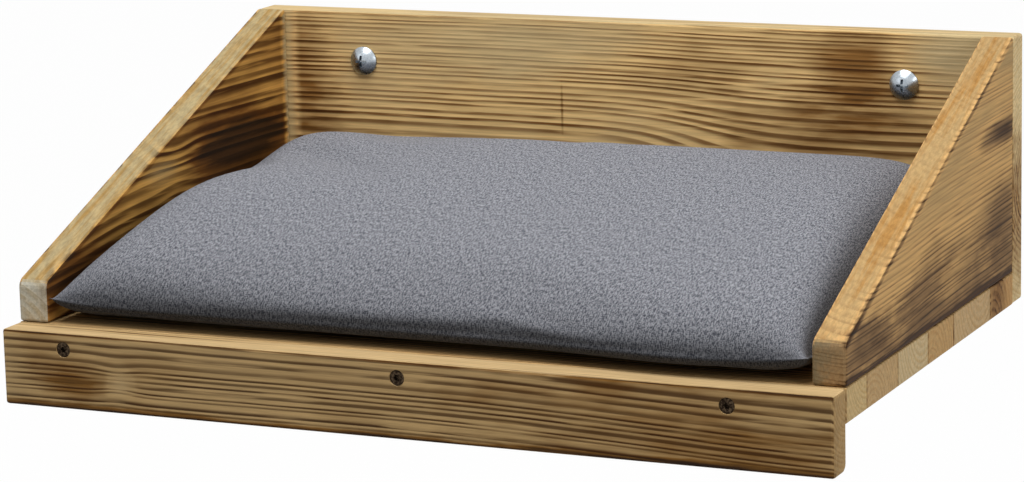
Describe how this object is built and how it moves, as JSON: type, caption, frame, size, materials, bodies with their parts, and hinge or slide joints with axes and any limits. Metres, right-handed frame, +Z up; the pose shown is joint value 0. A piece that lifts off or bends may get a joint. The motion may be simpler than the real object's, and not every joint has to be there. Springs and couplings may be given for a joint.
{
  "type": "cat wall shelf",
  "caption": "Wall-hung cat bed: a tray of flamed pine boards with sloping side panels and a low front rail, holding a loose grey fabric cushion that lifts out.",
  "frame": {"origin": "on the wall face, the back panel's rear face, at the middle of the shelf's width and at the height of the two wall screws", "axes": "+X along the wall, to the right for someone facing the shelf; +Y into the wall; +Z up"},
  "size_m": [0.5, 0.3807, 0.185],
  "materials": {
    "flamed_pine_rail": "matte",
    "flamed_pine_bed": "matte",
    "flamed_pine_side": "matte",
    "flamed_pine_back": "matte",
    "dark_steel": "satin",
    "bright_zinc": "gloss",
    "grey_melange": "matte",
    "white_fibre": "matte"
  },
  "bodies": {
    "shelf": {"front_rail": "flamed_pine_rail", "bed_stave_1": "flamed_pine_bed", "bed_stave_2": "flamed_pine_bed", "bed_stave_3": "flamed_pine_bed", "bed_stave_4": "flamed_pine_bed", "bed_stave_5": "flamed_pine_bed", "bed_stave_6": "flamed_pine_bed", "side_panel_left": "flamed_pine_side", "side_panel_right": "flamed_pine_side", "back_panel": "flamed_pine_back", "rail_screw_left": "dark_steel", "rail_screw_middle": "dark_steel", "rail_screw_right": "dark_steel", "bed_screw_left_1": "dark_steel", "bed_screw_left_2": "dark_steel", "bed_screw_left_3": "dark_steel", "bed_screw_right_1": "dark_steel", "bed_screw_right_2": "dark_steel", "bed_screw_right_3": "dark_steel", "side_screw_left_low": "dark_steel", "side_screw_left_high": "dark_steel", "side_screw_right_low": "dark_steel", "side_screw_right_high": "dark_steel", "back_screw_left": "dark_steel", "back_screw_middle": "dark_steel", "back_screw_right": "dark_steel", "wall_screw_left": "bright_zinc", "wall_screw_right": "bright_zinc"},
    "cushion": {"cushion_cover_top": "grey_melange", "cushion_cover_bottom": "grey_melange", "cushion_filling": "white_fibre"}
  },
  "joints": [
    {"name": "cushion_lift", "type": "slide", "parent": "shelf", "child": "cushion", "axis": [0, 0, 1], "range_m": [0, 0.16]}
  ]
}
